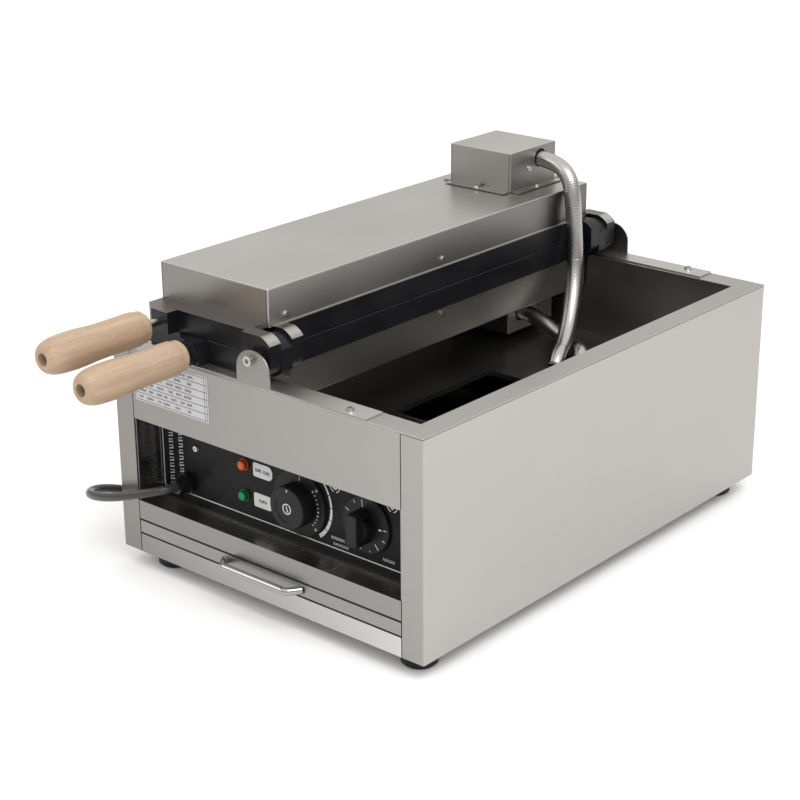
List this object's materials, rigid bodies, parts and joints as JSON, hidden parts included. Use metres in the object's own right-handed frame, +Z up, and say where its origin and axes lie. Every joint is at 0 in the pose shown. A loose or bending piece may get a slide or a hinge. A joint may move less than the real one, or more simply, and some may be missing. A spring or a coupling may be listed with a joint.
{
  "type": "waffle cone maker",
  "caption": "Table-top waffle cone maker: steel body with an open basin, hinged black mould castings with wooden grips, dial controls and a crumb drawer.",
  "frame": {"origin": "middle of the machine's footprint, grips and hinge bolts included and the power cord left out, on the surface it stands on", "axes": "+X to the machine's right, +Y to its back, -Y towards the user at the controls and grips, +Z up"},
  "size_m": [0.5285, 0.7034, 0.3605],
  "materials": {
    "steel_shell": "stainless sheet, fine satin grain",
    "steel_recess": "stainless sheet, smooth, mirrors the dark panel",
    "steel_basin": "stainless sheet, dull, browned in use",
    "steel_cover": "stainless sheet, fine satin grain",
    "steel_bracket": "stainless strip, satin",
    "drawer_steel": "stainless sheet, satin",
    "galvanised_steel": "galvanised, dull",
    "bright_bolt": "bright zinc and nickel",
    "chrome_pull": "polished chrome",
    "steel_conduit": "bright flexible stainless conduit",
    "casting_black": "black coated casting with bare machined edges",
    "black_panel": "satin black panel with white printed lines",
    "knob_black": "black moulded knob",
    "switch_body": "dark moulded switch housing",
    "black_nylon": "black nylon gland",
    "plug_plastic": "dark grey moulded plug",
    "grey_cord": "grey cord sheath with a soft sheen",
    "foot_rubber": "black rubber",
    "amber_lens": "translucent amber lens",
    "green_lens": "translucent green lens",
    "white_label": "white plastic label",
    "label_foil": "printed foil sticker",
    "beech": "turned beech, thin clear lacquer",
    "heater_sheath": "heat-tinted sheath",
    "mineral_wool": "mineral wool mat",
    "ceramic": "ceramic connector"
  },
  "bodies": {
    "body": {"outer_shell": "steel_shell", "top_deck": "steel_shell", "basin_liner": "steel_basin", "front_panel": "steel_shell", "control_recess": "steel_recess", "control_panel": "black_panel", "base_plate": "steel_shell", "drawer_runners": "galvanised_steel", "foot_front_left": "foot_rubber", "foot_front_right": "foot_rubber", "foot_rear_left": "foot_rubber", "foot_rear_right": "foot_rubber", "hinge_bracket_front": "steel_bracket", "hinge_bracket_rear": "steel_bracket", "hinge_pin_front": "bright_bolt", "hinge_pin_rear": "bright_bolt", "hinge_nuts": "bright_bolt", "body_screws": "bright_bolt", "rating_plate": "label_foil", "heating_lamp": "amber_lens", "power_lamp": "green_lens", "lamp_labels": "white_label", "thermostat_body": "switch_body", "timer_body": "switch_body", "terminal_block": "switch_body", "cord_gland": "black_nylon", "hose_glands": "bright_bolt", "upper_hose": "steel_conduit", "lower_hose": "steel_conduit", "power_cord": "grey_cord", "cord_coil": "grey_cord", "power_cord_tail": "grey_cord", "power_plug": "plug_plastic"},
    "drawer": {"drawer_tray": "drawer_steel", "drawer_handle": "chrome_pull", "drawer_handle_screws": "bright_bolt"},
    "thermostat": {"thermostat_knob": "knob_black", "thermostat_shaft": "bright_bolt"},
    "timer": {"timer_knob": "knob_black", "timer_shaft": "bright_bolt"},
    "lower_mould": {"lower_mould_plate": "casting_black", "lower_cover": "steel_cover", "lower_cover_screws": "bright_bolt", "lower_junction_box": "steel_cover", "lower_heater": "heater_sheath", "lower_insulation": "mineral_wool", "lower_terminal": "ceramic", "lower_hose_fitting": "bright_bolt", "lower_handle_rod": "bright_bolt", "lower_grip": "beech"},
    "upper_mould": {"upper_mould_plate": "casting_black", "upper_cover": "steel_cover", "upper_cover_screws": "bright_bolt", "upper_junction_box": "steel_cover", "upper_heater": "heater_sheath", "upper_insulation": "mineral_wool", "upper_terminal": "ceramic", "upper_hose_fitting": "bright_bolt", "upper_handle_rod": "bright_bolt", "upper_grip": "beech"}
  },
  "joints": [
    {"name": "drawer_slide", "type": "slide", "parent": "body", "child": "drawer", "axis": [0, -1, 0], "range_m": [0, 0.38]},
    {"name": "thermostat_turn", "type": "hinge", "parent": "body", "child": "thermostat", "pos_m": [0.02, -0.19275, 0.115], "axis": [0, 1, 0], "range_deg": [0, 270]},
    {"name": "timer_turn", "type": "hinge", "parent": "body", "child": "timer", "pos_m": [0.103, -0.19275, 0.117], "axis": [0, 1, 0], "range_deg": [0, 300]},
    {"name": "pair_flip", "type": "hinge", "parent": "body", "child": "lower_mould", "pos_m": [-0.007, -0.21275, 0.259], "axis": [0, 1, 0], "range_deg": [0, 178], "deforming": ["lower_hose", "upper_hose"]},
    {"name": "mould_open", "type": "hinge", "parent": "lower_mould", "child": "upper_mould", "pos_m": [-0.007, -0.21275, 0.259], "axis": [0, 1, 0], "range_deg": [0, 178], "deforming": ["upper_hose"]}
  ]
}
